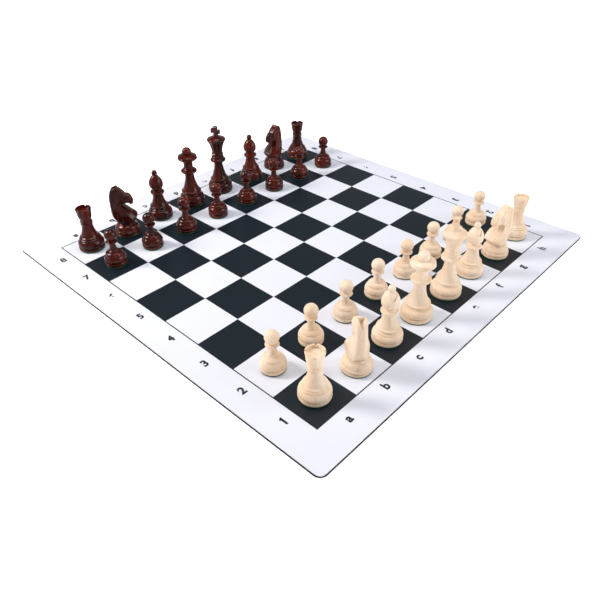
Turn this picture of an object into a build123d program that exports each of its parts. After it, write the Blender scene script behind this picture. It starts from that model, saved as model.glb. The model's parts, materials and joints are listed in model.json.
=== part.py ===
from build123d import *
from math import asin, atan2, cos, degrees, pi, sqrt
import os

# Chess set on a roll-up mat, in millimetres.  The origin is the middle of the mat's underside,
# +X runs from the a file to the h file, +Y from the first rank to the eighth, +Z is up.

# ---------------------------------------------------------------- driving dimensions
SQUARE = 50.0            # side of one square of the board
MARGIN = 35.0            # plain border outside the field
CORNER_RADIUS = 8.0      # the mat's rounded corners
RUBBER_THICKNESS = 1.6   # black foam rubber underside
VINYL_THICKNESS = 0.4    # white printed sheet on top
PRINT_DEPTH = 0.15       # dark ink and the pocket it fills
PRINT_GAP = 0.1          # light hairline between neighbouring dark areas
FRAME_LINE = 0.6         # width of the line round the field

FELT = 0.6               # thickness of the pad under each chessman
FELT_SETBACK = 1.3       # how far the pad stays inside the base's edge
GLUE_LINE = 0.02         # keeps a pawn's felt pad a solid of its own
PAWN_BASE = 12.2         # radii of the bases
MINOR_BASE = 14.9        # rook, knight and bishop
ROYAL_BASE = 16.0        # king and queen

ROOK_HEIGHT = 51.5
NOTCH_WIDTH = 1.8        # gaps between a rook's battlements
NOTCH_DEPTH = 1.9
NOTCH_TURN = 40          # degrees from +X to the first gap

SLIT_WIDTH = 1.1         # saw cut in a bishop's mitre
SLIT_HEIGHT = 48.5       # where the cut's floor crosses the axis
SLIT_SLOPE = 52          # degrees from level, rising to the open side
SLIT_REACH = 1.5         # how far the cut stops short of the axis

CROSS_FOOT = 76.2        # height of the flat top of the king's crown
CROSS_SPAN = 12.0        # width over the arms, and height above the crown
CROSS_THICKNESS = 5.0
CROSS_BEVEL = 0.5
ARM_WAIST = 3.4          # width of an arm at the middle of the cross
ARM_END = 5.6            # width of an arm at its end
CROSS_PEG_RADIUS = 1.5   # round peg under a king's cross
CROSS_PEG_LENGTH = 4.0

HORSE_FOOT = 15.6        # height of the knight base's flat top
HORSE_TOP = 60.8
SHOULDER_WIDTH = 20.6    # the carving is thickest at the shoulders
SHOULDER_TOP = 27.0
NECK_WIDTH = 12.4
NECK_FOOT = 38.0
CROWN_WIDTH = 9.4        # and thinnest over the ears
EAR_GAP = 3.2            # width of the cut between the ears
EAR_GAP_DEPTH = 5.5
EAR_GAP_LENGTH = 11.0    # how far the cut runs back from the forelock
HORSE_ROUND_FOOT = 10.0  # radius the carving's foot is rounded to, to meet its base
TENON_RADIUS = 3.0       # round peg under a carved horse
TENON_LENGTH = 6.0

MAT_TOP = RUBBER_THICKNESS + VINYL_THICKNESS
FIELD = 8 * SQUARE
MAT_SIDE = FIELD + 2 * MARGIN
ARM_ANGLE = degrees(atan2(CROSS_SPAN / 2, (ARM_END - ARM_WAIST) / 2))

# How far the officers stand off the middle of their squares, along X and Y: set down by hand.
OFF_CENTRE = {
    "b1": (1.1, -4.1), "c1": (0.6, -0.7), "d1": (-1.8, -1.0), "e1": (1.1, -1.2), "g1": (2.1, -2.2),
    "h1": (4.0, 1.6), "b8": (-2.2, -2.1), "c8": (-1.1, 1.2), "d8": (-0.6, 0.7), "e8": (-1.6, 1.6),
    "f8": (2.0, -2.1), "g8": (-0.4, 0.4), "h8": (-0.6, 0.6),
}
# Which way each carved horse looks and each cross turns, in degrees from +X.
HORSE_FACING = {"b1": 50, "g1": 165, "b8": -42, "g8": 184}
CROSS_FACING = {"e1": 117, "e8": 198}
SLIT_FACING = -40        # the side on which the bishops' mitres are cut

os.makedirs("parts", exist_ok=True)


def save(piece, name):
    """Labels a finished sub-part and writes it to its own file."""
    piece.part.label = name
    export_step(piece.part, f"parts/{name}.step")


def stand_point(square):
    """Where the man of a square such as e1 stands, on the mat's top face."""
    column = "abcdefgh".index(square[0])
    row = int(square[1]) - 1
    off_x, off_y = OFF_CENTRE.get(square, (0, 0))
    return Vector((column - 3.5) * SQUARE + off_x, (row - 3.5) * SQUARE + off_y, MAT_TOP)


# ---------------------------------------------------------------- the roll-up mat
with BuildPart() as rubber:
    with BuildSketch():
        RectangleRounded(MAT_SIDE, MAT_SIDE, CORNER_RADIUS)
    extrude(amount=RUBBER_THICKNESS)
save(rubber, "mat_rubber_base")

dark_centres = []
for column in range(8):
    for row in range(8):
        if (column + row) % 2 == 0:
            dark_centres.append(((column - 3.5) * SQUARE, (row - 3.5) * SQUARE))

with BuildSketch(Plane.XY.offset(MAT_TOP)) as dark_areas:
    Rectangle(FIELD + 2 * FRAME_LINE, FIELD + 2 * FRAME_LINE)
    Rectangle(FIELD + PRINT_GAP, FIELD + PRINT_GAP, mode=Mode.SUBTRACT)
    with Locations(*dark_centres):
        Rectangle(SQUARE - PRINT_GAP, SQUARE - PRINT_GAP)

with BuildPart() as vinyl:
    with BuildSketch(Plane.XY.offset(RUBBER_THICKNESS)):
        RectangleRounded(MAT_SIDE, MAT_SIDE, CORNER_RADIUS)
    extrude(amount=VINYL_THICKNESS)
    add(dark_areas.sketch)
    extrude(amount=-PRINT_DEPTH, mode=Mode.SUBTRACT)
save(vinyl, "mat_white_vinyl")

with BuildPart() as ink:
    add(dark_areas.sketch)
    extrude(amount=-PRINT_DEPTH)
save(ink, "mat_dark_print")


# ---------------------------------------------------------------- turned outlines
# An outline climbs from the felt to the top of a piece.  Each point is a radius and a height;
# a third number bows the stretch that ends there, outward when positive and inward when negative.
def ball_bow(radius, neck):
    """Bow of the arc from a neck up over a ball to its top."""
    return radius * (1 - cos((pi - asin(neck / radius)) / 2))


def ball_neck_height(centre, radius, neck):
    """Height at which a neck of the given radius meets a ball."""
    return centre - sqrt(radius**2 - neck**2)


def plinth(base, rim_top, band_top, band_inset, band_bow=0.8):
    """The foot that all the chessmen share: a rounded rim, a groove and a swelling band."""
    return [
        (base - 1.0, FELT),
        (base - 0.1, FELT + 1.4, 0.35),
        (base - 0.5, rim_top, 0.35),
        (base - 1.1, rim_top + 0.2),
        (base - 1.0, rim_top + 0.6),
        (base - 0.1, rim_top + 1.5, 0.25),
        (base - band_inset, band_top, band_bow),
    ]


def pawn_outline():
    ball, ball_centre, neck = 6.85, 36.6, 3.6
    return plinth(PAWN_BASE, 4.9, 12.4, 1.9) + [
        (9.7, 12.9),
        (9.8, 13.4),
        (6.1, 16.7, 0.8),
        (5.5, 17.0),
        (5.2, 18.1, 0.3),
        (4.7, 18.4),
        (3.3, 25.6, -0.4),
        (3.5, 27.2),
        (5.7, 27.7),
        (5.7, 29.7, 0.8),
        (neck, 30.3),
        (neck, ball_neck_height(ball_centre, ball, neck)),
        (0, ball_centre + ball, ball_bow(ball, neck)),
    ]


def rook_outline():
    return plinth(MINOR_BASE, 4.5, 12.4, 2.2) + [
        (11.8, 12.8),
        (11.5, 14.8, 0.6),
        (10.9, 15.0),
        (10.3, 16.9, 0.6),
        (9.7, 17.2),
        (6.0, 31.6, -0.8),
        (6.5, 32.0),
        (6.5, 33.6, 0.4),
        (6.1, 33.9),
        (6.1, 34.3),
        (6.5, 34.6),
        (6.5, 36.2, 0.4),
        (6.1, 36.5),
        (6.1, 38.6),
        (7.4, 41.6, 0.5),
        (7.5, 42.6),
        (7.9, 42.9),
        (8.9, ROOK_HEIGHT - 0.6, -0.2),
        (8.5, ROOK_HEIGHT),
        (6.9, ROOK_HEIGHT),
        (6.6, ROOK_HEIGHT - 3.0),
        (1.1, ROOK_HEIGHT - 3.0),
        (1.0, ROOK_HEIGHT - 2.5),
        (0, ROOK_HEIGHT - 2.5),
    ]


def bishop_outline():
    ball, ball_centre, neck = 3.5, 59.2, 2.0
    return plinth(MINOR_BASE, 4.3, 11.6, 2.2) + [
        (11.7, 12.0),
        (11.6, 13.6, 0.5),
        (10.4, 14.2),
        (10.2, 15.4, -0.3),
        (10.9, 15.8),
        (10.6, 17.4, 0.6),
        (9.9, 17.6),
        (5.8, 32.2, -0.9),
        (6.6, 32.5),
        (6.8, 36.3, 1.85),
        (5.9, 36.7),
        (5.6, 37.6, 0.3),
        (4.7, 37.9),
        (4.7, 38.4),
        (8.5, 44.6, 1.2),
        (7.4, 50.2, 0.5),
        (2.5, 56.6, 0.6),
        (neck, ball_neck_height(ball_centre, ball, neck)),
        (0, ball_centre + ball, ball_bow(ball, neck)),
    ]


def queen_outline():
    ball, ball_centre, seat = 5.8, 70.1, 4.8
    return plinth(ROYAL_BASE, 5.4, 13.2, 2.6) + [
        (12.2, 13.6),
        (11.0, 14.6, -0.3),
        (10.8, 16.6, -0.2),
        (11.8, 17.0),
        (11.6, 19.2, 0.8),
        (10.9, 19.5),
        (5.7, 39.3, -1.2),
        (5.5, 42.6),
        (8.2, 43.3),
        (8.6, 47.0, 1.8),
        (6.6, 48.4, -0.2),
        (6.4, 49.6, 0.3),
        (5.7, 49.9),
        (6.2, 57.2, -0.2),
        (9.8, 60.0, -0.5),
        (11.8, 61.0),
        (12.2, 62.3, 0.35),
        (11.6, 63.0),
        (11.6, 63.4),
        (11.9, 64.3, 0.25),
        (11.2, 65.3, 0.3),
        (seat, ball_neck_height(ball_centre, ball, seat), 0.4),
        (0, ball_centre + ball, ball_bow(ball, seat)),
    ]


def king_outline():
    return plinth(ROYAL_BASE, 5.7, 13.0, 2.6) + [
        (12.2, 13.4),
        (11.0, 14.2, -0.3),
        (10.8, 16.1, -0.2),
        (11.5, 16.5),
        (11.3, 18.6, 0.8),
        (10.6, 18.9),
        (5.7, 38.4, -1.1),
        (5.5, 41.5),
        (8.2, 42.1),
        (8.6, 45.8, 1.8),
        (7.7, 47.7, -0.2),
        (7.5, 49.3, 0.4),
        (6.8, 49.6),
        (6.8, 51.3),
        (7.1, 51.7),
        (7.1, 53.5, 0.6),
        (6.7, 53.9),
        (11.3, 69.6, -0.9),
        (10.6, 73.1, 1.1),
        (9.5, 73.3),
        (9.1, 72.8),
        (3.5, CROSS_FOOT - 1.1, 0.5),
        (3.3, CROSS_FOOT, 0.4),
        (0, CROSS_FOOT),
    ]


def knight_base_outline():
    return plinth(MINOR_BASE, 3.2, 7.0, 0.4, 0.1) + [
        (13.7, 7.3),
        (13.7, 7.7),
        (10.5, 13.3, 1.0),
        (10.1, 13.6),
        (9.8, 15.4, 0.5),
        (9.2, HORSE_FOOT),
        (0, HORSE_FOOT),
    ]


def side_plane(square):
    """Upright plane through a square's centre, on which a piece's outline is drawn."""
    return Plane(origin=stand_point(square), x_dir=(1, 0, 0), z_dir=(0, -1, 0))


def draw_outline(outline):
    """Draws an outline on the current plane, closed along the axis."""
    here = Vector(0, FELT)
    for radius, height, *bow in outline:
        there = Vector(radius, height)
        if bow:
            SagittaArc(here, there, -bow[0])
        else:
            Line(here, there)
        here = there
    Line(here, Vector(0, FELT))


def turn(outline, square):
    """Turns an outline about the upright axis through a square's centre."""
    with BuildPart() as turned:
        with BuildSketch(side_plane(square)):
            with BuildLine():
                draw_outline(outline)
            make_face()
        revolve(axis=Axis(stand_point(square), (0, 0, 1)))
    return turned


def felt_pad(square, base):
    """Thin round pad under a chessman."""
    with BuildPart() as pad:
        with BuildSketch(Plane(stand_point(square))):
            Circle(base - FELT_SETBACK)
        extrude(amount=FELT)
    return pad


# ---------------------------------------------------------------- pawns and rooks
def make_pawn(square):
    body = turn(pawn_outline(), square)
    with BuildPart() as pawn:
        add(body.part)
        with BuildSketch(Plane(stand_point(square))):
            Circle(PAWN_BASE - FELT_SETBACK)
        extrude(amount=FELT - GLUE_LINE)
    return pawn


def make_rook(square):
    body = turn(rook_outline(), square)
    top = Plane(stand_point(square)).offset(ROOK_HEIGHT)
    with BuildPart() as rook:
        add(body.part)
        with BuildSketch(top.rotated((0, 0, NOTCH_TURN))):
            Rectangle(3 * MINOR_BASE, NOTCH_WIDTH)
            Rectangle(NOTCH_WIDTH, 3 * MINOR_BASE)
        extrude(amount=-NOTCH_DEPTH, mode=Mode.SUBTRACT)
    return rook


# ---------------------------------------------------------------- bishops
def make_bishop(square):
    body = turn(bishop_outline(), square)
    axis_point = stand_point(square) + Vector(0, 0, SLIT_HEIGHT)
    slit_plane = Plane(axis_point).rotated((0, 0, SLIT_FACING)).rotated((0, -SLIT_SLOPE, 0))
    with BuildPart() as bishop:
        add(body.part)
        with BuildSketch(slit_plane):
            with Locations((SLIT_REACH + MINOR_BASE / 2, 0)):
                Rectangle(MINOR_BASE, 2 * MINOR_BASE)
        extrude(amount=SLIT_WIDTH / 2, both=True, mode=Mode.SUBTRACT)
    return bishop


# ---------------------------------------------------------------- kings and their crosses
def make_king(square):
    body = turn(king_outline(), square)
    with BuildPart() as king:
        add(body.part)
        with BuildSketch(Plane(stand_point(square)).offset(CROSS_FOOT)):
            Circle(CROSS_PEG_RADIUS)
        extrude(amount=-CROSS_PEG_LENGTH, mode=Mode.SUBTRACT)
    return king


def make_cross(square):
    """A short cross with flared arms, standing on a round peg."""
    foot = Plane(stand_point(square)).offset(CROSS_FOOT)
    ahead = Vector(1, 0, 0).rotate(Axis.Z, CROSS_FACING[square])
    face = Plane(origin=foot.offset(CROSS_SPAN / 2).origin, x_dir=(0, 0, 1), z_dir=ahead)
    with BuildPart() as cross:
        with BuildSketch(face):
            with PolarLocations(CROSS_SPAN / 4, 4):
                Trapezoid(ARM_END, CROSS_SPAN / 2, ARM_ANGLE, rotation=90)
        extrude(amount=CROSS_THICKNESS / 2, both=True)
        broad_faces = cross.faces().filter_by(Axis((0, 0, 0), ahead))
        chamfer(broad_faces.edges(), length=CROSS_BEVEL)
        with BuildSketch(foot):
            Circle(CROSS_PEG_RADIUS)
        extrude(amount=-CROSS_PEG_LENGTH)
    return cross


# ---------------------------------------------------------------- knights
def horse_outline():
    """Side view of the carving: ahead of the axis is positive, height is from the mat."""
    Line((-8.4, HORSE_FOOT), (-10.8, 19.0))
    Line((-10.8, 19.0), (-13.8, 24.0))
    SagittaArc((-13.8, 24.0), (-14.2, 44.0), 0.6)
    SagittaArc((-14.2, 44.0), (-9.8, 58.4), 1.6)
    Line((-9.8, 58.4), (-4.4, HORSE_TOP))
    Line((-4.4, HORSE_TOP), (-2.6, 59.8))
    Line((-2.6, 59.8), (1.0, 57.0))
    Line((1.0, 57.0), (4.6, 52.4))
    SagittaArc((4.6, 52.4), (9.6, 51.4), 0.5)
    SagittaArc((9.6, 51.4), (13.2, 45.6), 0.8)
    SagittaArc((13.2, 45.6), (13.4, 41.4), 0.2)
    SagittaArc((13.4, 41.4), (9.4, 39.6), 1.1)
    SagittaArc((9.4, 39.6), (7.0, 41.2), -0.4)
    Line((7.0, 41.2), (1.4, 40.6))
    SagittaArc((1.4, 40.6), (1.2, 37.8), -1.0)
    Line((1.2, 37.8), (13.8, 24.6))
    SagittaArc((13.8, 24.6), (13.8, 20.8), 0.8)
    SagittaArc((13.8, 20.8), (8.8, HORSE_FOOT), -0.4)
    Line((8.8, HORSE_FOOT), (-8.4, HORSE_FOOT))


def horse_front():
    """Front view of the carving: broad shoulders, a narrower neck and narrow ears."""
    right = [
        (HORSE_ROUND_FOOT, HORSE_FOOT),
        (SHOULDER_WIDTH / 2, 20.0),
        (SHOULDER_WIDTH / 2, SHOULDER_TOP),
        (NECK_WIDTH / 2, NECK_FOOT),
        (CROWN_WIDTH / 2, HORSE_TOP),
    ]
    left = [(-across, height) for across, height in reversed(right)]
    Polyline(*right, *left, close=True)


def horse_envelope():
    """Outline of the round blank the carving is cut from, drawn in at its foot."""
    return [
        (HORSE_ROUND_FOOT, FELT),
        (HORSE_ROUND_FOOT, HORSE_FOOT),
        (14.6, 22.0),
        (15.4, HORSE_TOP + 1),
        (0, HORSE_TOP + 1),
    ]


def make_knight_base(square):
    body = turn(knight_base_outline(), square)
    with BuildPart() as base:
        add(body.part)
        with BuildSketch(Plane(stand_point(square)).offset(HORSE_FOOT)):
            Circle(TENON_RADIUS)
        extrude(amount=-TENON_LENGTH, mode=Mode.SUBTRACT)
    return base


def make_horse(square):
    """The carved horse, broad at the shoulders, thin at the ears and pegged to its base."""
    ahead = Vector(1, 0, 0).rotate(Axis.Z, HORSE_FACING[square])
    across = ahead.rotate(Axis.Z, 90)
    centre = stand_point(square)
    side = Plane(origin=centre, x_dir=ahead, z_dir=-across)
    front = Plane(origin=centre, x_dir=across, z_dir=ahead)
    foot = Plane(centre).offset(HORSE_FOOT)
    envelope = turn(horse_envelope(), square)
    with BuildPart() as horse:
        with BuildSketch(side):
            with BuildLine():
                horse_outline()
            make_face()
        extrude(amount=SHOULDER_WIDTH / 2, both=True)
        with BuildSketch(front):
            with BuildLine():
                horse_front()
            make_face()
        extrude(amount=2 * MINOR_BASE, both=True, mode=Mode.INTERSECT)
        add(envelope.part, mode=Mode.INTERSECT)
        with BuildSketch(front):
            with BuildLine():
                Polyline(
                    (-EAR_GAP / 2, HORSE_TOP),
                    (0, HORSE_TOP - EAR_GAP_DEPTH),
                    (EAR_GAP / 2, HORSE_TOP),
                    close=True,
                )
            make_face()
        extrude(amount=EAR_GAP_LENGTH, both=True, mode=Mode.SUBTRACT)
        with BuildSketch(foot):
            Circle(TENON_RADIUS)
        extrude(amount=-TENON_LENGTH)
    return horse


# ---------------------------------------------------------------- the two armies
OFFICERS = {"a": "rook", "b": "knight", "c": "bishop", "d": "queen", "e": "king", "f": "bishop",
            "g": "knight", "h": "rook"}
BASES = {"rook": MINOR_BASE, "knight": MINOR_BASE, "bishop": MINOR_BASE,
         "queen": ROYAL_BASE, "king": ROYAL_BASE}


def save_officer(side, kind, square):
    """Writes one officer's wooden pieces and its felt pad."""
    name = f"{side}_{kind}_{square}"
    if kind == "rook":
        save(make_rook(square), name)
    if kind == "knight":
        save(make_knight_base(square), f"{name}_base")
        save(make_horse(square), f"{name}_horse")
    if kind == "bishop":
        save(make_bishop(square), name)
    if kind == "queen":
        save(turn(queen_outline(), square), name)
    if kind == "king":
        save(make_king(square), name)
        save(make_cross(square), f"{name}_cross")
    save(felt_pad(square, BASES[kind]), f"{name}_felt")


for side, back_rank, pawn_rank in (("light", 1, 2), ("dark", 8, 7)):
    for file, kind in OFFICERS.items():
        save_officer(side, kind, f"{file}{back_rank}")
        save(make_pawn(f"{file}{pawn_rank}"), f"{side}_pawn_{file}{pawn_rank}")
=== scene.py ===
import json
from math import asin, cos, hypot, pi, radians, sin, sqrt

import bmesh
import bpy
import numpy as np
from mathutils import Matrix, Vector


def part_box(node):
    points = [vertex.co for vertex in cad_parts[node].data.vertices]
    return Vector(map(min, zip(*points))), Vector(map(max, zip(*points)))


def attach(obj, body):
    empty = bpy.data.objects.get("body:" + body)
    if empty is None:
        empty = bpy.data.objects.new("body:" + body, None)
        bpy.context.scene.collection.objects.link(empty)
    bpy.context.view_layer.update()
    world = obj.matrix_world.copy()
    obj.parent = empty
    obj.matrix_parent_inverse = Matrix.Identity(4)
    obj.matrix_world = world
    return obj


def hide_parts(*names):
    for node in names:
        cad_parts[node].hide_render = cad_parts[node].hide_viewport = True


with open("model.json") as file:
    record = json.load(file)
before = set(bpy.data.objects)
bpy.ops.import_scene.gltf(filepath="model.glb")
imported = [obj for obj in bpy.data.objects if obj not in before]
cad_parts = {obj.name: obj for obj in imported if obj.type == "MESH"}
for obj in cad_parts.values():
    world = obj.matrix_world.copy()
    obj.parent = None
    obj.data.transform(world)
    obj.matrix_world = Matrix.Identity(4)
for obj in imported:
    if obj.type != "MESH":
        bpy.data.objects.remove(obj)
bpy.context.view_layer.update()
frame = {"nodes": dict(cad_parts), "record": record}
NODES = frame["nodes"]
BODIES = frame["record"]["behaviour"]["bodies"]

# Chess set on a roll-up mat.  Tables of shapes are in millimetres and turned to metres by MM.
MM = 0.001
SQUARE = 50.0            # side of one square
FIELD = 4 * SQUARE       # from the middle of the board to the edge of the field
EDGE = 235.0             # from the middle of the board to the edge of the mat
CORNER = 8.0             # radius of the mat's corners
RUBBER_TOP = 1.6
MAT_TOP = 2.0
LEDGE = 0.6              # how far the rubber shows past the printed sheet
BORDER_LIFT = 0.7        # how far the mat's free border can curl up
INK = 0.1                # thickness of the printed layer
HAIRLINE = 0.05          # half the pale line left between two dark squares
FRAME_LINE = 1.2         # line printed round the field
LETTER_SIZE = 11.9
LETTER_WEIGHT = 0.5      # how far the strokes are thickened on each side
LETTER_LINES = {0: -215.8, 180: 215.6}      # Y of the letters' feet, by which way they are turned
NUMBER_LINES = {0: -212.8, 180: 212.0}      # X of the middle of the numbers
NUMBER_DROP = 4.1        # from a number's middle to its foot
FLAG_OF_ONE = [(-2.3, 5.6), (-2.3, 6.9), (0.3, 8.6), (0.3, 7.0)]
PAWN_BASE = 12.2         # radii of the bases
MINOR_BASE = 14.9        # rook, knight and bishop
ROYAL_BASE = 16.0        # king and queen
FELT = 1.1               # pads are shown at their loose thickness
FELT_SETBACK = 0.6       # how far the pad stays inside the base's edge
HORSE_FOOT = 15.6        # height of the flat top of a knight's base

# Which way each carved horse looks and each bishop's mitre opens, in degrees from +X.
HORSE_FACING = {"b1": 50, "g1": 165, "b8": -42, "g8": 184}
SLIT_FACING = -40
NOTCH_TURN = 40          # from +X to a rook's first gap


# ---------------------------------------------------------------- colours and nodes
def hex_colour(text):
    """sRGB hex to linear red, green, blue and alpha."""
    channels = []
    for start in (1, 3, 5):
        value = int(text[start:start + 2], 16) / 255
        channels.append(value / 12.92 if value <= 0.04045 else ((value + 0.055) / 1.055) ** 2.4)
    return (*channels, 1.0)


def add_node(tree, kind, sockets=None, **settings):
    """Adds a node with its settings; a socket given another node's socket is linked to it."""
    made = tree.nodes.new(kind)
    for name, value in settings.items():
        setattr(made, name, value)
    for name, value in (sockets or {}).items():
        if isinstance(value, bpy.types.NodeSocket):
            tree.links.new(value, made.inputs[name])
        else:
            made.inputs[name].default_value = value
    return made


def new_material(name):
    """An empty material: its tree, and the node that ends it."""
    material = bpy.data.materials.new(name)
    material.use_nodes = True
    tree = material.node_tree
    tree.nodes.clear()
    return material, tree, tree.nodes.new("ShaderNodeOutputMaterial")


# Factor and colour sockets of a colour mix.
FACTOR, FIRST, SECOND, MIXED = 0, 6, 7, 2


def turned_wood(name, pale, middle, deep, roughness, coat, coat_roughness, pore_depth):
    """Wood turned on a lathe with its grain along the axis, stained or left, then lacquered.

    The eye gets slow patches of colour a centimetre or two long, fine fibres drawn out along the
    axis, growth rings that show as arches on the flanks, and a clear coat that gives the shine.
    Pores about 0.1 mm wide are drawn 0.5 mm wide so that they show.
    """
    material, tree, out = new_material(name)
    where = add_node(tree, "ShaderNodeTexCoord").outputs["Object"]
    each = add_node(tree, "ShaderNodeObjectInfo").outputs["Random"]
    seed = add_node(tree, "ShaderNodeMath", {0: each, 1: 61.0}, operation="MULTIPLY").outputs[0]
    long = add_node(tree, "ShaderNodeMapping", {"Vector": where, "Scale": (1, 1, 0.12)}).outputs[0]
    patches = add_node(tree, "ShaderNodeTexNoise", {"Vector": long, "W": seed,
                       "Scale": 1 / (14 * MM), "Detail": 2.0, "Roughness": 0.5},
                       noise_dimensions="4D").outputs[0]
    fibres = add_node(tree, "ShaderNodeTexNoise", {"Vector": long, "W": seed,
                      "Scale": 1 / (0.7 * MM), "Detail": 3.0, "Roughness": 0.6},
                      noise_dimensions="4D").outputs[0]
    rings = add_node(tree, "ShaderNodeTexWave", {"Vector": long, "Scale": 1 / (26 * MM),
                     "Distortion": 5.0, "Detail": 2.0, "Detail Scale": 0.8,
                     "Phase Offset": seed}, bands_direction="X").outputs[1]
    slow = add_node(tree, "ShaderNodeMapRange", {0: patches, 1: 0.35, 2: 0.66}).outputs[0]
    ground = add_node(tree, "ShaderNodeMix", {FACTOR: slow, FIRST: hex_colour(pale),
                      SECOND: hex_colour(middle)}, data_type="RGBA").outputs[MIXED]
    ringed = add_node(tree, "ShaderNodeMapRange", {0: rings, 1: 0.55, 2: 1.0, 4: 0.45}).outputs[0]
    arched = add_node(tree, "ShaderNodeMix", {FACTOR: ringed, FIRST: ground,
                      SECOND: hex_colour(middle)}, data_type="RGBA").outputs[MIXED]
    lines = add_node(tree, "ShaderNodeMapRange", {0: fibres, 1: 0.5, 2: 0.75, 4: 0.55}).outputs[0]
    colour = add_node(tree, "ShaderNodeMix", {FACTOR: lines, FIRST: arched,
                      SECOND: hex_colour(deep)}, data_type="RGBA").outputs[MIXED]
    relief = add_node(tree, "ShaderNodeBump", {"Height": fibres, "Strength": 0.35,
                      "Distance": pore_depth * MM}).outputs[0]
    skin = add_node(tree, "ShaderNodeBsdfPrincipled", {"Base Color": colour, "Roughness": roughness,
                    "IOR": 1.24, "Coat Weight": coat, "Coat Roughness": coat_roughness,
                    "Coat IOR": 1.36, "Normal": relief})
    tree.links.new(skin.outputs[0], out.inputs[0])
    return material


def wool_felt():
    """Green wool felt, pressed and cut in discs: a matt, hairy edge that drinks the light.

    Fibres are 0.02 mm thick and are drawn 0.25 mm thick so that they show.
    """
    material, tree, out = new_material("wool_felt_green")
    where = add_node(tree, "ShaderNodeTexCoord").outputs["Object"]
    hairs = add_node(tree, "ShaderNodeTexNoise", {"Vector": where, "Scale": 1 / (0.25 * MM),
                     "Detail": 4.0, "Roughness": 0.7}).outputs[0]
    colour = add_node(tree, "ShaderNodeMix", {FACTOR: hairs, FIRST: hex_colour("#0A3A26"),
                      SECOND: hex_colour("#1A7A50")}, data_type="RGBA").outputs[MIXED]
    relief = add_node(tree, "ShaderNodeBump", {"Height": hairs, "Strength": 0.8,
                      "Distance": 0.2 * MM}).outputs[0]
    skin = add_node(tree, "ShaderNodeBsdfPrincipled", {"Base Color": colour, "Roughness": 0.95,
                    "Sheen Weight": 0.15, "Sheen Roughness": 0.5, "Normal": relief})
    tree.links.new(skin.outputs[0], out.inputs[0])
    return material


def printed_sheet(name, low, high, roughness):
    """PVC sheet, calendered and printed: a fine pebble 0.4 mm across breaks up its dull shine."""
    material, tree, out = new_material(name)
    where = add_node(tree, "ShaderNodeTexCoord").outputs["Object"]
    clouds = add_node(tree, "ShaderNodeTexNoise", {"Vector": where, "Scale": 1 / (60 * MM),
                      "Detail": 3.0}).outputs[0]
    pebble = add_node(tree, "ShaderNodeTexNoise", {"Vector": where, "Scale": 1 / (0.4 * MM),
                      "Detail": 2.0}).outputs[0]
    colour = add_node(tree, "ShaderNodeMix", {FACTOR: clouds, FIRST: hex_colour(low),
                      SECOND: hex_colour(high)}, data_type="RGBA").outputs[MIXED]
    relief = add_node(tree, "ShaderNodeBump", {"Height": pebble, "Strength": 0.25,
                      "Distance": 0.05 * MM}).outputs[0]
    skin = add_node(tree, "ShaderNodeBsdfPrincipled", {"Base Color": colour,
                    "Roughness": roughness, "IOR": 1.4, "Normal": relief})
    tree.links.new(skin.outputs[0], out.inputs[0])
    return material


def foam_rubber():
    """Natural foam rubber, cast with fine cells: a black, dull, slightly pitted edge."""
    material, tree, out = new_material("foam_rubber_black")
    where = add_node(tree, "ShaderNodeTexCoord").outputs["Object"]
    cells = add_node(tree, "ShaderNodeTexVoronoi", {"Vector": where, "Scale": 1 / (0.6 * MM)},
                     feature="F1").outputs[0]
    colour = add_node(tree, "ShaderNodeMix", {FACTOR: cells, FIRST: hex_colour("#060607"),
                      SECOND: hex_colour("#131315")}, data_type="RGBA").outputs[MIXED]
    relief = add_node(tree, "ShaderNodeBump", {"Height": cells, "Strength": 0.6,
                      "Distance": 0.15 * MM}).outputs[0]
    skin = add_node(tree, "ShaderNodeBsdfPrincipled", {"Base Color": colour, "Roughness": 0.85,
                    "IOR": 1.5, "Normal": relief})
    tree.links.new(skin.outputs[0], out.inputs[0])
    return material


WOODS = {
    # Hornbeam under thin satin lacquer: creamy, close-grained, a soft broad shine.
    "light": turned_wood("hornbeam_satin_lacquer", "#F9E8D3", "#F0D4B4", "#D3A274",
                         0.42, 0.28, 0.18, 0.03),
    # Red-brown stained wood under thick gloss lacquer: nearly black in the shade, amber where thin.
    "dark": turned_wood("stained_wood_gloss_lacquer", "#5E1807", "#2A0803", "#0C0201",
                        0.26, 0.65, 0.05, 0.02),
}
FELT_CLOTH = wool_felt()
VINYL = printed_sheet("pvc_sheet_white", "#E2E7F4", "#E9EDF8", 0.45)
PRINT = printed_sheet("screen_ink_blue_black", "#07151E", "#0B1C27", 0.42)
RUBBER = foam_rubber()


# ---------------------------------------------------------------- pieces in general
def stand_point(node):
    """Middle of a node's underside, which is where its man stands on the mat."""
    low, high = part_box(node)
    return Vector(((low.x + high.x) / 2, (low.y + high.y) / 2, MAT_TOP * MM))


def new_piece(name, mesh, material, crease=30):
    """A piece with smooth shading that breaks at edges sharper than crease degrees."""
    mesh.materials.clear()
    mesh.materials.append(material)
    mesh.shade_smooth()
    mesh.set_sharp_from_angle(angle=radians(crease))
    piece = bpy.data.objects.new(name, mesh)
    bpy.context.scene.collection.objects.link(piece)
    return piece


def baked(piece, name):
    """The mesh of a piece with its modifiers worked in; the piece itself goes."""
    bpy.context.view_layer.update()
    seen = piece.evaluated_get(bpy.context.evaluated_depsgraph_get())
    mesh = bpy.data.meshes.new_from_object(seen)
    mesh.name = name
    bpy.data.objects.remove(piece)
    return mesh


def stand(piece, point, body, slot, *nodes):
    """Puts a piece on its point, riding on its body and standing for its CAD nodes."""
    piece.location = point
    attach(piece, body)
    if nodes:
        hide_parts(*nodes)


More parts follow.
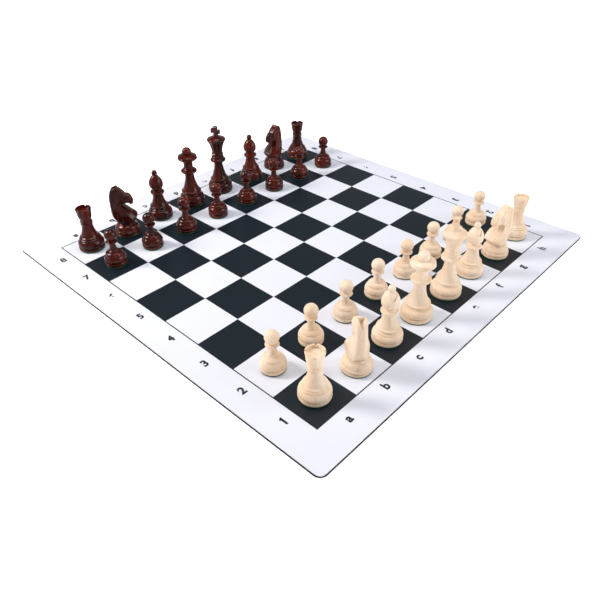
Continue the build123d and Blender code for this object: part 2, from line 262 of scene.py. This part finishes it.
# ---------------------------------------------------------------- the mat
def grid_lines():
    """Where the mat's grid is cut: at every printed edge, and about every 10 mm between them."""
    lines = [-EDGE, -EDGE + LEDGE, EDGE - LEDGE, EDGE]
    for count in range(1, 5):
        lines += [-EDGE + 2 * count, EDGE - 2 * count]
    for step in (6.5, 13.0, 19.5):
        lines += [-FIELD - FRAME_LINE - step, FIELD + FRAME_LINE + step]
    for side in (-FIELD, FIELD):
        lines += [side - HAIRLINE, side + HAIRLINE]
    lines += [-FIELD - FRAME_LINE, FIELD + FRAME_LINE]
    for column in range(8):
        start = -FIELD + column * SQUARE
        lines += [start + part * SQUARE / 5 for part in range(1, 5)]
        if column:
            lines += [start - HAIRLINE, start + HAIRLINE]
    return sorted(lines)


def is_inked(x, y):
    """True where the point lies on a dark square or on the line round the field."""
    reach = max(abs(x), abs(y))
    if reach > FIELD - HAIRLINE:
        return reach < FIELD + FRAME_LINE
    column, row = int((x + FIELD) // SQUARE), int((y + FIELD) // SQUARE)
    inside = [abs((v + FIELD) % SQUARE - SQUARE / 2) < SQUARE / 2 - HAIRLINE for v in (x, y)]
    return (column + row) % 2 == 0 and all(inside)


def printed_top(x, y):
    """Height of the white sheet: lower under the ink, and none past its edge."""
    if max(abs(x), abs(y)) > EDGE - LEDGE:
        return None
    return MAT_TOP - INK if is_inked(x, y) else MAT_TOP


def relaxed(x, y):
    """Rounds the mat's corners, and lets its free border lift a little where it was rolled."""
    inner = EDGE - CORNER
    across, along = (abs(x) - inner) / CORNER, (abs(y) - inner) / CORNER
    if across > 0 and along > 0:
        x = (inner + CORNER * across * sqrt(1 - along**2 / 2)) * (1 if x > 0 else -1)
        y = (inner + CORNER * along * sqrt(1 - across**2 / 2)) * (1 if y > 0 else -1)
    free = max(0.0, (max(abs(x), abs(y)) - FIELD - FRAME_LINE) / (EDGE - FIELD - FRAME_LINE))
    ripple = 0.5 + 0.3 * sin(x / 47 + 1.3) + 0.2 * cos(y / 39 - 0.4)
    return x, y, BORDER_LIFT * ripple * free**2


def laid_sheet(name, top_of, bottom, material):
    """A closed slab on the mat's grid; top_of gives a cell's height, or None for no cell."""
    lines = grid_lines()
    cells = {}
    for i in range(len(lines) - 1):
        for j in range(len(lines) - 1):
            top = top_of((lines[i] + lines[i + 1]) / 2, (lines[j] + lines[j + 1]) / 2)
            if top is not None:
                cells[i, j] = top
    work = bmesh.new()
    made = {}

    def corner(i, j, height):
        key = (i, j, height)
        if key not in made:
            x, y, lift = relaxed(lines[i], lines[j])
            made[key] = work.verts.new(Vector((x, y, height + lift)) * MM)
        return made[key]

    for (i, j), top in cells.items():
        ring = [(i, j), (i + 1, j), (i + 1, j + 1), (i, j + 1)]
        work.faces.new([corner(*at, top) for at in ring])
        work.faces.new([corner(*at, bottom) for at in reversed(ring)])
        for side, beside in enumerate([(i, j - 1), (i + 1, j), (i, j + 1), (i - 1, j)]):
            low = cells.get(beside, bottom)
            if low < top:
                a, b = ring[side], ring[(side + 1) % 4]
                work.faces.new([corner(*a, low), corner(*b, low), corner(*b, top), corner(*a, top)])
    mesh = bpy.data.meshes.new(name)
    work.to_mesh(mesh)
    work.free()
    return new_piece(name, mesh, material)


def coordinates():
    """The letters and numbers printed round the field, as one thin raised piece."""
    marks = []
    for index in range(8):
        middle = (index - 3.5) * SQUARE
        letter, number = "abcdefgh"[index], str(index + 1)
        marks += [(letter, middle, LETTER_LINES[turn], turn) for turn in (0, 180)]
        marks += [(number, NUMBER_LINES[0], middle - NUMBER_DROP, 0),
                  (number, NUMBER_LINES[180], middle + NUMBER_DROP, 180)]
    work = bmesh.new()
    for text, x, y, turn in marks:
        font = bpy.data.curves.new("mark", "FONT")
        font.body = text
        font.align_x = "CENTER"
        font.size = LETTER_SIZE * MM
        font.offset = LETTER_WEIGHT * MM
        font.extrude = 0.03 * MM
        drawn = bpy.data.objects.new("mark", font)
        bpy.context.scene.collection.objects.link(drawn)
        mesh = baked(drawn, "mark")
        if text == "1":
            flag = bmesh.new()
            flag.from_mesh(mesh)
            flag.faces.new([flag.verts.new(Vector((across, up, 0.03)) * MM)
                            for across, up in FLAG_OF_ONE])
            flag.to_mesh(mesh)
            flag.free()
        lift = relaxed(x, y)[2]
        mesh.transform(Matrix.Translation(Vector((x, y, MAT_TOP + lift)) * MM)
                       @ Matrix.Rotation(radians(turn), 4, "Z"))
        work.from_mesh(mesh)
    bmesh.ops.remove_doubles(work, verts=work.verts, dist=0.001 * MM)
    mesh = bpy.data.meshes.new("mat_coordinates")
    work.to_mesh(mesh)
    work.free()
    return new_piece("mat_coordinates", mesh, PRINT)


rubber = laid_sheet("mat_rubber", lambda x, y: RUBBER_TOP, 0.0, RUBBER)
vinyl = laid_sheet("mat_vinyl", printed_top, RUBBER_TOP, VINYL)
ink = laid_sheet("mat_print", lambda x, y: MAT_TOP if is_inked(x, y) else None,
                 MAT_TOP - INK, PRINT)
marks = coordinates()
for piece, slot in ((rubber, "black_rubber"), (vinyl, "white_vinyl"), (ink, "dark_ink"),
                    (marks, "dark_ink")):
    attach(piece, "mat")
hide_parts("mat_rubber_base")
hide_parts("mat_white_vinyl")
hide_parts("mat_dark_print")


# ---------------------------------------------------------------- turned outlines
# An outline climbs from the felt to the top of a piece.  Each point is a radius and a height;
# a third number bows the stretch that ends there, outward when positive and inward when negative.
def ball_bow(radius, neck):
    """Bow of the arc from a neck up over a ball to its top."""
    return radius * (1 - cos((pi - asin(neck / radius)) / 2))


def ball_foot(centre, radius, neck):
    """Height at which a neck of the given radius meets a ball."""
    return centre - sqrt(radius**2 - neck**2)


def plinth(base, rim_top, band_top, band_inset, band_bow=0.8):
    """The foot that all the chessmen share: a rounded rim, a groove and a swelling band."""
    return [
        (base - 1.0, FELT), (base - 0.1, FELT + 1.4, 0.35), (base - 0.5, rim_top, 0.35),
        (base - 1.5, rim_top + 0.2), (base - 1.5, rim_top + 0.7), (base - 0.1, rim_top + 1.5, 0.25),
        (base - band_inset, band_top, band_bow),
    ]


OUTLINES = {
    "pawn": plinth(PAWN_BASE, 4.9, 12.4, 1.9) + [
        (9.7, 12.9), (9.8, 13.4), (6.1, 16.7, 0.8), (5.5, 17.0), (5.2, 18.1, 0.3), (4.7, 18.4),
        (3.3, 25.6, -0.4), (3.5, 27.2), (5.7, 27.7), (5.7, 29.7, 0.8), (3.6, 30.3),
        (3.6, ball_foot(36.6, 6.85, 3.6)), (0, 43.45, ball_bow(6.85, 3.6)),
    ],
    "rook": plinth(MINOR_BASE, 4.5, 12.4, 2.2) + [
        (11.8, 12.8), (11.5, 14.8, 0.6), (10.9, 15.0), (10.3, 16.9, 0.6), (9.7, 17.2),
        (6.0, 31.6, -0.8), (6.5, 32.0), (6.5, 33.6, 0.4), (6.1, 33.9), (6.1, 34.3), (6.5, 34.6),
        (6.5, 36.2, 0.4), (6.1, 36.5), (6.1, 38.6), (7.4, 41.6, 0.5), (7.5, 42.6), (7.9, 42.9),
        (8.9, 50.9, -0.2), (8.5, 51.5), (6.9, 51.5), (6.6, 48.5), (1.1, 48.5), (1.0, 49.0),
        (0, 49.0),
    ],
    "bishop": plinth(MINOR_BASE, 4.3, 11.6, 2.2) + [
        (11.7, 12.0), (11.6, 13.6, 0.5), (10.4, 14.2), (10.2, 15.4, -0.3), (10.9, 15.8),
        (10.6, 17.4, 0.6), (9.9, 17.6), (5.8, 32.2, -0.9), (6.6, 32.5), (6.8, 36.3, 1.85),
        (5.9, 36.7), (5.6, 37.6, 0.3), (4.7, 37.9), (4.7, 38.4), (8.5, 44.6, 1.2), (7.4, 50.2, 0.5),
        (2.5, 56.6, 0.6), (2.0, ball_foot(59.2, 3.5, 2.0)), (0, 62.7, ball_bow(3.5, 2.0)),
    ],
    "queen": plinth(ROYAL_BASE, 5.4, 13.2, 2.6) + [
        (12.2, 13.6), (11.0, 14.6, -0.3), (10.8, 16.6, -0.2), (11.8, 17.0), (11.6, 19.2, 0.8),
        (10.9, 19.5), (5.7, 39.3, -1.2), (5.5, 42.6), (8.2, 43.3), (8.6, 47.0, 1.8),
        (6.6, 48.4, -0.2), (6.4, 49.6, 0.3), (5.7, 49.9), (6.2, 57.2, -0.2), (9.8, 60.0, -0.5),
        (11.8, 61.0), (12.2, 62.3, 0.35), (11.6, 63.0), (11.6, 63.4), (11.9, 64.3, 0.25),
        (11.2, 65.3, 0.3), (4.8, ball_foot(70.1, 5.8, 4.8), 0.4), (0, 75.9, ball_bow(5.8, 4.8)),
    ],
    "king": plinth(ROYAL_BASE, 5.7, 13.0, 2.6) + [
        (12.2, 13.4), (11.0, 14.2, -0.3), (10.8, 16.1, -0.2), (11.5, 16.5), (11.3, 18.6, 0.8),
        (10.6, 18.9), (5.7, 38.4, -1.1), (5.5, 41.5), (8.2, 42.1), (8.6, 45.8, 1.8),
        (7.7, 47.7, -0.2), (7.5, 49.3, 0.4), (6.8, 49.6), (6.8, 51.3), (7.1, 51.7),
        (7.1, 53.5, 0.6), (6.7, 53.9), (11.3, 69.6, -0.9), (10.6, 73.1, 1.1), (9.5, 73.3),
        (9.1, 72.8), (3.5, 75.1, 0.5), (3.3, 76.2, 0.4), (0, 76.2),
    ],
    "knight": plinth(MINOR_BASE, 3.2, 7.0, 0.4, 0.1) + [
        (13.7, 7.3), (13.7, 7.7), (10.5, 13.3, 1.0), (10.1, 13.6), (9.8, 15.4, 0.5),
        (9.2, HORSE_FOOT), (0, HORSE_FOOT),
    ],
}


def drawn_out(outline):
    """The outline as close points: bowed stretches become arcs and corners are rubbed round."""
    points = [(0.0, FELT), (outline[0][0], FELT)]
    for end in outline[1:]:
        (r0, h0), (r1, h1) = points[-1], end[:2]
        bow = end[2] if len(end) > 2 else 0.0
        chord = hypot(r1 - r0, h1 - h0)
        count = max(1, min(28, int(chord / 0.5))) if bow else 1
        for step in range(1, count + 1):
            part = step / count
            reach = 0.0
            if bow:
                radius = (chord**2 / 4 + bow**2) / (2 * abs(bow))
                along = (part - 0.5) * chord
                reach = sqrt(max(radius**2 - along**2, 0.0)) - (radius - abs(bow))
                if abs(bow) > chord / 2:
                    turn = (part - 0.5) * 2 * (pi - asin(min(1.0, chord / 2 / radius)))
                    along, reach = radius * sin(turn), radius * cos(turn) - (radius - abs(bow))
                    part = 0.5 + along / chord
                reach *= 1 if bow > 0 else -1
            points.append((r0 + part * (r1 - r0) + reach * (h1 - h0) / chord,
                           h0 + part * (h1 - h0) - reach * (r1 - r0) / chord))
    rubbed = [points[0]]
    for before, here, after in zip(points, points[1:], points[2:]):
        back, on = Vector(before) - Vector(here), Vector(after) - Vector(here)
        if back.length < 0.01 or on.length < 0.01 or back.angle(on) > radians(158):
            rubbed.append(here)
            continue
        cut = min(0.22, 0.4 * back.length, 0.4 * on.length)
        start, end = Vector(here) + back.normalized() * cut, Vector(here) + on.normalized() * cut
        for part in (0.0, 0.33, 0.67, 1.0):
            near, far = start.lerp(Vector(here), part), Vector(here).lerp(end, part)
            rubbed.append(tuple(near.lerp(far, part)))
    return rubbed + [points[-1]]


def spun_mesh(name, points, steps):
    """Spins points (radius, height) about the upright axis into a closed mesh."""
    work = bmesh.new()
    rings = []
    for radius, height in points:
        if radius < 0.005:
            rings.append([work.verts.new((0, 0, height * MM))])
            continue
        rings.append([work.verts.new((radius * cos(2 * pi * k / steps) * MM,
                                      radius * sin(2 * pi * k / steps) * MM, height * MM))
                      for k in range(steps)])
    for low, high in zip(rings, rings[1:]):
        for k in range(steps):
            n = (k + 1) % steps
            ring = [low[k % len(low)], low[n % len(low)], high[n % len(high)], high[k % len(high)]]
            kept = [vert for index, vert in enumerate(ring) if vert not in ring[:index]]
            if len(kept) > 2:
                work.faces.new(kept)
    bmesh.ops.recalc_face_normals(work, faces=work.faces)
    mesh = bpy.data.meshes.new(name)
    work.to_mesh(mesh)
    work.free()
    return mesh


def turned_mesh(name, outline):
    return spun_mesh(name, drawn_out(outline), 96)


def block(name, corners, centre_line):
    """A straight bar with the given cross-section (across, up), along centre_line's two ends."""
    work = bmesh.new()
    start, end, up = centre_line
    across = (end - start).cross(up).normalized()
    rings = [[work.verts.new((end_point + across * a + up * b) * MM) for a, b in corners]
             for end_point in (start, end)]
    count = len(corners)
    for k in range(count):
        n = (k + 1) % count
        work.faces.new([rings[0][k], rings[0][n], rings[1][n], rings[1][k]])
    work.faces.new(rings[0])
    work.faces.new(rings[1])
    bmesh.ops.recalc_face_normals(work, faces=work.faces)
    mesh = bpy.data.meshes.new(name)
    work.to_mesh(mesh)
    work.free()
    made = bpy.data.objects.new(name, mesh)
    bpy.context.scene.collection.objects.link(made)
    return made


def cut(mesh, *tools):
    """Cuts the tools out of a mesh, and takes them away."""
    piece = bpy.data.objects.new("work", mesh)
    bpy.context.scene.collection.objects.link(piece)
    for tool in tools:
        step = piece.modifiers.new("cut", "BOOLEAN")
        step.operation = "DIFFERENCE"
        step.solver = "EXACT"
        step.object = tool
    done = baked(piece, mesh.name)
    for tool in tools:
        bpy.data.objects.remove(tool)
    return done


def flat_direction(degrees_from_x):
    return Vector((cos(radians(degrees_from_x)), sin(radians(degrees_from_x)), 0))


def rook_mesh(name):
    """The rook with four narrow gaps sawn through its rim."""
    gap = [(-0.9, -1.9), (0.9, -1.9), (0.9, 2.0), (-0.9, 2.0)]
    tools = []
    for turn in (NOTCH_TURN, NOTCH_TURN + 90):
        ahead = flat_direction(turn) * 14
        top = Vector((0, 0, 51.5))
        tools.append(block("gap", gap, (top - ahead, top + ahead, Vector((0, 0, 1)))))
    return cut(turned_mesh(name, OUTLINES["rook"]), *tools)


def bishop_mesh(name):
    """The bishop with the slanting saw cut in its mitre."""
    ahead = flat_direction(SLIT_FACING)
    slope = radians(52)
    rise = ahead * cos(slope) + Vector((0, 0, sin(slope)))
    up = Vector((0, 0, cos(slope))) - ahead * sin(slope)
    side = rise.cross(up)
    floor = Vector((0, 0, 48.5)) + rise * 1.5
    slit = [(0.0, -0.55), (16.0, -0.55), (16.0, 0.55), (0.0, 0.55)]
    tool = block("slit", slit, (floor + side * 14, floor - side * 14, up))
    return cut(turned_mesh(name, OUTLINES["bishop"]), tool)


# ---------------------------------------------------------------- carved horses
# Side view of the carving: ahead of the axis, height above the mat, half the thickness left at
# that edge, and how far in the edge is rounded (positive) or cut to a flat bevel (negative).
HORSE = [
    (-8.4, 15.3, 5.6, 3.0), (-10.8, 19.0, 4.6, 4.0), (-13.7, 23.8, 2.4, 5.0),
    (-14.4, 30.0, 1.8, 5.0), (-14.7, 37.0, 1.7, 5.0), (-14.5, 44.0, 1.6, 4.6),
    (-13.6, 50.0, 1.8, 4.0), (-12.2, 54.6, 2.4, 2.6), (-10.8, 57.4, 3.2, 1.4),
    (-9.6, 58.6, 4.3, 0.5), (-4.4, 60.9, 4.3, 0.5), (-3.0, 60.3, 4.0, 0.6), (-2.4, 59.2, 3.6, 0.8),
    (1.0, 56.8, 3.4, 0.9), (3.8, 53.4, 3.2, 1.0), (4.7, 52.0, 2.8, 1.0), (6.2, 52.2, 2.6, 1.2),
    (8.6, 51.9, 2.4, 1.4), (10.6, 50.0, 2.2, 1.6), (12.0, 47.0, 2.2, 1.8), (13.0, 43.8, 2.1, 1.6),
    (13.1, 41.4, 2.0, 1.4), (11.8, 39.5, 2.0, 1.4), (9.6, 39.4, 2.2, 1.2), (7.8, 40.6, 2.6, 1.2),
    (4.4, 40.9, 3.2, 1.2), (1.2, 40.0, 3.6, 1.2), (-0.4, 38.8, 3.4, 0.8), (0.8, 37.8, 2.2, -0.8),
    (5.0, 33.6, 3.4, -2.0), (9.4, 29.2, 4.9, -3.2), (13.6, 24.8, 6.2, -4.4),
    (14.6, 23.0, 6.5, -4.4), (14.0, 20.6, 6.6, -3.8), (11.8, 18.0, 6.4, -2.8),
    (9.2, 15.3, 5.0, -1.5),
]
STEP = 0.45              # spacing of the points the carving is worked out on


def smooth_between(value, low, high):
    part = np.clip((value - low) / (high - low), 0, 1)
    return part * part * (3 - 2 * part)


def bump(x, z, at, size, height):
    """A soft round swelling, or a hollow when height is negative."""
    return height * np.exp(-(((x - at[0]) / size[0]) ** 2 + ((z - at[1]) / size[1]) ** 2))


def groove(x, z, path, width, depth):
    """A carved line along a path."""
    nearest = np.full(x.shape, 1e9)
    for (x0, z0), (x1, z1) in zip(path, path[1:]):
        dx, dz = x1 - x0, z1 - z0
        part = np.clip(((x - x0) * dx + (z - z0) * dz) / (dx * dx + dz * dz), 0, 1)
        nearest = np.minimum(nearest, np.hypot(x - x0 - part * dx, z - z0 - part * dz))
    return -depth * np.exp(-(nearest / width) ** 2)


def nearest_edge(x, z):
    """Distance to the outline, its nearest point, and the edge thickness and rounding there."""
    rows = np.array(HORSE)
    best = np.full(x.shape, 1e9)
    found = np.zeros(x.shape + (4,))
    for start, end in zip(rows, np.roll(rows, -1, axis=0)):
        dx, dz = end[:2] - start[:2]
        part = np.clip(((x - start[0]) * dx + (z - start[1]) * dz) / (dx * dx + dz * dz), 0, 1)
        point = start + part[..., None] * (end - start)
        away = np.hypot(x - point[..., 0], z - point[..., 1])
        closer = away < best
        best = np.where(closer, away, best)
        found = np.where(closer[..., None], point, found)
    return best, found


def is_inside(x, z):
    inside = np.zeros(x.shape, bool)
    for (x0, z0, *_), (x1, z1, *_) in zip(HORSE, HORSE[1:] + HORSE[:1]):
        if z0 != z1:
            crosses = (z0 > z) != (z1 > z)
            inside ^= crosses & (x < x0 + (z - z0) * (x1 - x0) / (z1 - z0))
    return inside


def half_thickness(x, z):
    """Half the carving's thickness at a point of its side view."""
    neck = np.interp(z, [15, 22, 30, 38, 46, 54, 61], [6.6, 6.5, 6.2, 5.9, 5.4, 5.0, 4.8])
    shoulder = np.interp(z, [15, 19, 27, 30, 34, 38], [9.6, 10.3, 10.3, 9.6, 7.6, 5.9])
    full = neck + (shoulder - neck) * smooth_between(x, -11.0, 0.0) * (z < 38)
    full -= 1.5 * smooth_between(x, 3.0, 9.0) * smooth_between(z, 38.0, 41.0)
    full += bump(x, z, (-1.6, 46.0), (4.6, 4.6), 0.7)
    full += bump(x, z, (10.4, 45.6), (2.6, 3.8), 0.6)
    full += bump(x, z, (2.4, 52.6), (3.0, 1.0), 0.7)
    full += bump(x, z, (2.6, 50.2), (1.4, 0.9), 1.0)
    full += bump(x, z, (5.6, 47.6), (1.5, 3.2), -0.6)
    full += bump(x, z, (9.6, 48.0), (0.9, 0.8), -1.1)
    full += groove(x, z, [(13.6, 43.0), (10.8, 42.7), (9.0, 43.4)], 0.5, 1.0)
    full += groove(x, z, [(0.8, 49.0), (2.4, 48.8), (4.4, 49.7)], 0.4, 0.6)
    full += groove(x, z, [(0.4, 51.6), (2.6, 51.9), (4.6, 51.0)], 0.35, 0.4)
    full += groove(x, z, [(3.6, 41.6), (3.9, 44.6), (2.6, 47.4)], 0.7, 0.6)
    full += groove(x, z, [(-6.2, 56.0), (-7.6, 47.0), (-5.4, 40.6), (-1.0, 39.2)], 0.9, 0.7)
    full += groove(x, z, [(-2.4, 60.5), (-3.6, 56.6), (-2.2, 53.8)], 0.6, 0.7)
    away, edge = nearest_edge(x, z)
    left, round_in = edge[..., 2], np.abs(edge[..., 3])
    part = np.clip(away / np.maximum(round_in, 0.05), 0, 1)
    curve = np.where(edge[..., 3] < 0, part, np.sqrt(1 - (1 - part) ** 2))
    thick = np.minimum(left, full) + (full - np.minimum(left, full)) * curve
    blank = np.interp(z, [15.6, 22.0, 61.0], [10.2, 14.6, 16.5])
    return np.minimum(thick, np.sqrt(np.maximum(blank**2 - x**2, 1.0)))


def horse_mesh(name, facing):
    """The carved horse: two mirrored reliefs back to back, remeshed and eased like sanded wood."""
    xs = np.arange(-16.2, 16.2, STEP)
    zs = np.arange(14.4, 61.6, STEP)
    x, z = np.meshgrid(xs, zs, indexing="ij")
    inside = is_inside(x, z)
    whole = inside[:-1, :-1] & inside[1:, :-1] & inside[1:, 1:] & inside[:-1, 1:]
    used = np.zeros(x.shape, int)
    for di in (0, 1):
        for dj in (0, 1):
            used[di:used.shape[0] - 1 + di, dj:used.shape[1] - 1 + dj] += whole
    edge = nearest_edge(x, z)[1]
    rim = (used > 0) & (used < 4)
    x, z = np.where(rim, edge[..., 0], x), np.where(rim, edge[..., 1], z)
    thick = half_thickness(x, z)
    work = bmesh.new()
    verts = {}
    for i, j in zip(*np.nonzero(used)):
        for side in (-1, 1):
            verts[i, j, side] = work.verts.new(Vector((x[i, j], side * thick[i, j], z[i, j])) * MM)
    for i, j in zip(*np.nonzero(whole)):
        ring = [(i, j), (i + 1, j), (i + 1, j + 1), (i, j + 1)]
        work.faces.new([verts[(*at, -1)] for at in ring])
        work.faces.new([verts[(*at, 1)] for at in reversed(ring)])
        for k, (di, dj) in enumerate([(0, -1), (1, 0), (0, 1), (-1, 0)]):
            beside = (i + di, j + dj)
            if 0 <= beside[0] < whole.shape[0] and 0 <= beside[1] < whole.shape[1]:
                if whole[beside]:
                    continue
            a, b = ring[k], ring[(k + 1) % 4]
            work.faces.new([verts[(*b, -1)], verts[(*a, -1)], verts[(*a, 1)], verts[(*b, 1)]])
    bmesh.ops.recalc_face_normals(work, faces=work.faces)
    mesh = bpy.data.meshes.new(name)
    work.to_mesh(mesh)
    work.free()
    gap = [(-4.2, 4.0), (0.0, -3.0), (4.2, 4.0)]
    run = (Vector((-18, 0, 55.6)), Vector((-4.6, 0, 57.6)), Vector((0, 0, 1)))
    ears = block("ear_gap", gap, run)
    mesh = cut(mesh, ears)
    piece = bpy.data.objects.new("work", mesh)
    bpy.context.scene.collection.objects.link(piece)
    skin = piece.modifiers.new("skin", "REMESH")
    skin.mode = "VOXEL"
    skin.voxel_size = 0.32 * MM
    sanded = piece.modifiers.new("sanded", "SMOOTH")
    sanded.factor = 0.5
    sanded.iterations = 2
    mesh = baked(piece, name)
    mesh.transform(Matrix.Rotation(radians(facing), 4, "Z"))
    return mesh


# ---------------------------------------------------------------- the two armies
def pad_mesh(name, radius):
    """A felt disc with its edges worn round."""
    return spun_mesh(name, [(0, 0), (radius - 0.2, 0), (radius, 0.3), (radius, FELT - 0.3),
                            (radius - 0.2, FELT), (0, FELT)], 64)


def man_mesh(kind, name):
    if kind == "rook":
        return rook_mesh(name)
    if kind == "bishop":
        return bishop_mesh(name)
    return turned_mesh(name, OUTLINES[kind])


BASE = {"pawn": PAWN_BASE, "rook": MINOR_BASE, "knight": MINOR_BASE, "bishop": MINOR_BASE,
        "queen": ROYAL_BASE, "king": ROYAL_BASE}
for body, nodes in BODIES.items():
    if body == "mat":
        continue
    side, kind, square = body.split("_")
    slot = f"{side}_wood"
    stands_for = f"{body}_base" if kind == "knight" else body
    point = stand_point(body if kind == "pawn" else f"{body}_felt")
    turned = new_piece(f"{body}_turned", man_mesh(kind, f"{body}_turned"), WOODS[side])
    stand(turned, point, body, slot, stands_for)
    cloth = pad_mesh(f"{body}_pad", BASE[kind] - FELT_SETBACK)
    pad = new_piece(f"{body}_pad", cloth, FELT_CLOTH)
    stand(pad, point, body, "green_felt", *[node for node in nodes if node.endswith("_felt")])
    if kind == "knight":
        carving = horse_mesh(f"{body}_carving", HORSE_FACING[square])
        carved = new_piece(f"{body}_carving", carving, WOODS[side], crease=60)
        stand(carved, point, body, slot, f"{body}_horse")
    if kind == "king":
        NODES[f"{body}_cross"].data.materials.clear()
        NODES[f"{body}_cross"].data.materials.append(WOODS[side])


# ---------------------------------------------------------------- floor, light and camera
def studio_floor():
    """A white painted floor, large enough to reach past every view."""
    mesh = bpy.data.meshes.new("floor")
    size = 6.0
    mesh.from_pydata([(-size, -size, 0), (size, -size, 0), (size, size, 0), (-size, size, 0)],
                     [], [(0, 1, 2, 3)])
    material, tree, out = new_material("floor_paint_white")
    skin = add_node(tree, "ShaderNodeBsdfPrincipled", {"Base Color": hex_colour("#FBFBFD"),
                    "Roughness": 0.9, "Emission Color": hex_colour("#FFFFFF"),
                    "Emission Strength": 0.75})
    tree.links.new(skin.outputs[0], out.inputs[0])
    floor = new_piece("floor", mesh, material)
    floor.visible_glossy = False


def studio_sky():
    """Light from all round, bright low down and dim overhead."""
    world = bpy.data.worlds.new("studio")
    world.use_nodes = True
    tree = world.node_tree
    tree.nodes.clear()
    way = add_node(tree, "ShaderNodeTexCoord").outputs["Generated"]
    height = add_node(tree, "ShaderNodeSeparateXYZ", {0: way}).outputs[2]
    level = add_node(tree, "ShaderNodeMapRange", {0: height, 1: 0.05, 2: 0.75, 3: 0.60, 4: 0.08},
                     interpolation_type="SMOOTHSTEP").outputs[0]
    glow = add_node(tree, "ShaderNodeBackground", {0: hex_colour("#FAFBFF"), 1: level})
    out = tree.nodes.new("ShaderNodeOutputWorld")
    tree.links.new(glow.outputs[0], out.inputs[0])
    bpy.context.scene.world = world


def soft_light(name, at, aim, size, power, colour):
    """A softbox."""
    lamp = bpy.data.lights.new(name, "AREA")
    lamp.shape = "RECTANGLE"
    lamp.size, lamp.size_y = size
    lamp.energy = power
    lamp.color = hex_colour(colour)[:3]
    holder = bpy.data.objects.new(name, lamp)
    holder.location = at
    holder.rotation_euler = (Vector(aim) - Vector(at)).to_track_quat("-Z", "Y").to_euler()
    bpy.context.scene.collection.objects.link(holder)


EYE = Vector((-0.43750, -0.40844, 0.37078))
AHEAD = Vector((cos(radians(43.557)) * cos(radians(37.215)),
                sin(radians(43.557)) * cos(radians(37.215)), -sin(radians(37.215))))
RIGHT = AHEAD.cross(Vector((0, 0, 1))).normalized()
MIDDLE = Vector((0, 0, 0.03))

studio_floor()
studio_sky()
soft_light("softbox_left", MIDDLE - RIGHT * 0.95 + Vector((0, 0, 0.75)), MIDDLE,
           (0.34, 0.48), 12.0, "#FFF6F0")
soft_light("softbox_right", MIDDLE + RIGHT * 1.1 - AHEAD * 0.3 + Vector((0, 0, 0.5)), MIDDLE,
           (0.8, 0.8), 7.0, "#FFFFFF")
soft_light("softbox_top", MIDDLE + AHEAD * 0.1 + Vector((0, 0, 1.5)), MIDDLE,
           (0.9, 0.9), 9.0, "#FFFFFF")

camera = bpy.data.objects.new("camera", bpy.data.cameras.new("camera"))
camera.data.lens = 35.6
camera.data.sensor_width = 36.0
above = RIGHT.cross(AHEAD)
tilt = radians(-0.600)
level_right = cos(tilt) * RIGHT + sin(tilt) * above
level_up = cos(tilt) * above - sin(tilt) * RIGHT
camera.matrix_world = Matrix((
    (level_right.x, level_up.x, -AHEAD.x, EYE.x),
    (level_right.y, level_up.y, -AHEAD.y, EYE.y),
    (level_right.z, level_up.z, -AHEAD.z, EYE.z),
    (0, 0, 0, 1),
))
bpy.context.scene.collection.objects.link(camera)
bpy.context.scene.camera = camera
bpy.context.scene.view_settings.view_transform = "Standard"
